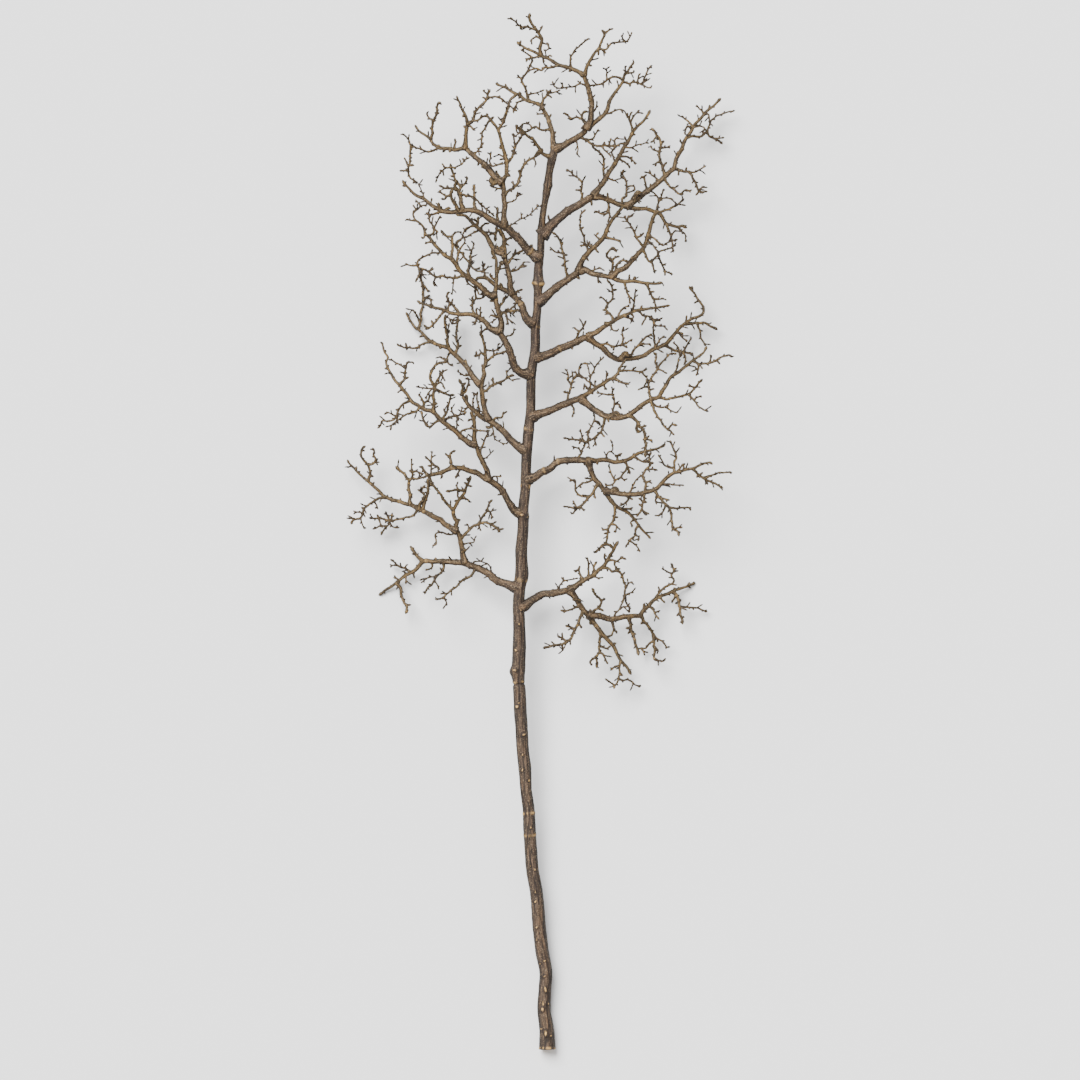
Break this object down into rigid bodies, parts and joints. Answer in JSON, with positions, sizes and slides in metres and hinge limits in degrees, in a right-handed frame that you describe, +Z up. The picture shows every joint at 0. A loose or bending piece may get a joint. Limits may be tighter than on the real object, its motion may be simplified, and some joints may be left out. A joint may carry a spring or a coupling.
{
  "type": "fallen tree branch",
  "caption": "Dead leafless tree branch lying flat: a slender cut stem whose side limbs fork into a fan of spur twigs.",
  "frame": {"origin": "on the ground, under the middle of the branch's bounding box", "axes": "+Y along the stem from the cut foot to the crown, +X to the right of the crown seen from above with the foot nearest, +Z up from the ground"},
  "size_m": [0.5842, 1.5552, 0.1732],
  "materials": {
    "stem_bark": "dull weathered bark",
    "limb_bark": "dull olive brown bark",
    "twig_bark": "dull brown twig bark"
  },
  "bodies": {
    "root": {"apex": "twig_bark", "crown_branch": "limb_bark", "crown_left": "twig_bark", "crown_right": "twig_bark", "left_1": "limb_bark", "left_1_outer": "limb_bark", "left_1_upper": "limb_bark", "left_2": "limb_bark", "left_2_outer": "limb_bark", "left_2_upper": "limb_bark", "left_3": "limb_bark", "left_3_outer": "limb_bark", "left_3_upper": "limb_bark", "left_4": "limb_bark", "left_4_middle": "limb_bark", "left_4_outer": "limb_bark", "left_4_upper": "limb_bark", "left_5": "limb_bark", "left_5_outer": "limb_bark", "left_5_upper": "limb_bark", "left_6": "limb_bark", "left_6_upper": "limb_bark", "left_7": "limb_bark", "left_7_upper": "limb_bark", "right_1": "limb_bark", "right_1_lower": "limb_bark", "right_1_outer": "limb_bark", "right_1_upper": "limb_bark", "right_2": "limb_bark", "right_2_lower": "limb_bark", "right_2_outer": "limb_bark", "right_2_upper": "limb_bark", "right_3": "limb_bark", "right_3_outer": "limb_bark", "right_3_upper": "limb_bark", "right_4": "limb_bark", "right_4_outer": "limb_bark", "right_4_upper": "limb_bark", "right_5": "limb_bark", "right_5_lower": "limb_bark", "right_5_outer": "limb_bark", "right_5_upper": "limb_bark", "right_6": "limb_bark", "right_6_middle": "limb_bark", "right_6_outer": "limb_bark", "right_6_upper": "limb_bark", "stem": "stem_bark", "top_left": "limb_bark", "top_right": "limb_bark", "top_right_tip": "limb_bark", "upper_left_spur": "twig_bark"}
  },
  "joints": []
}
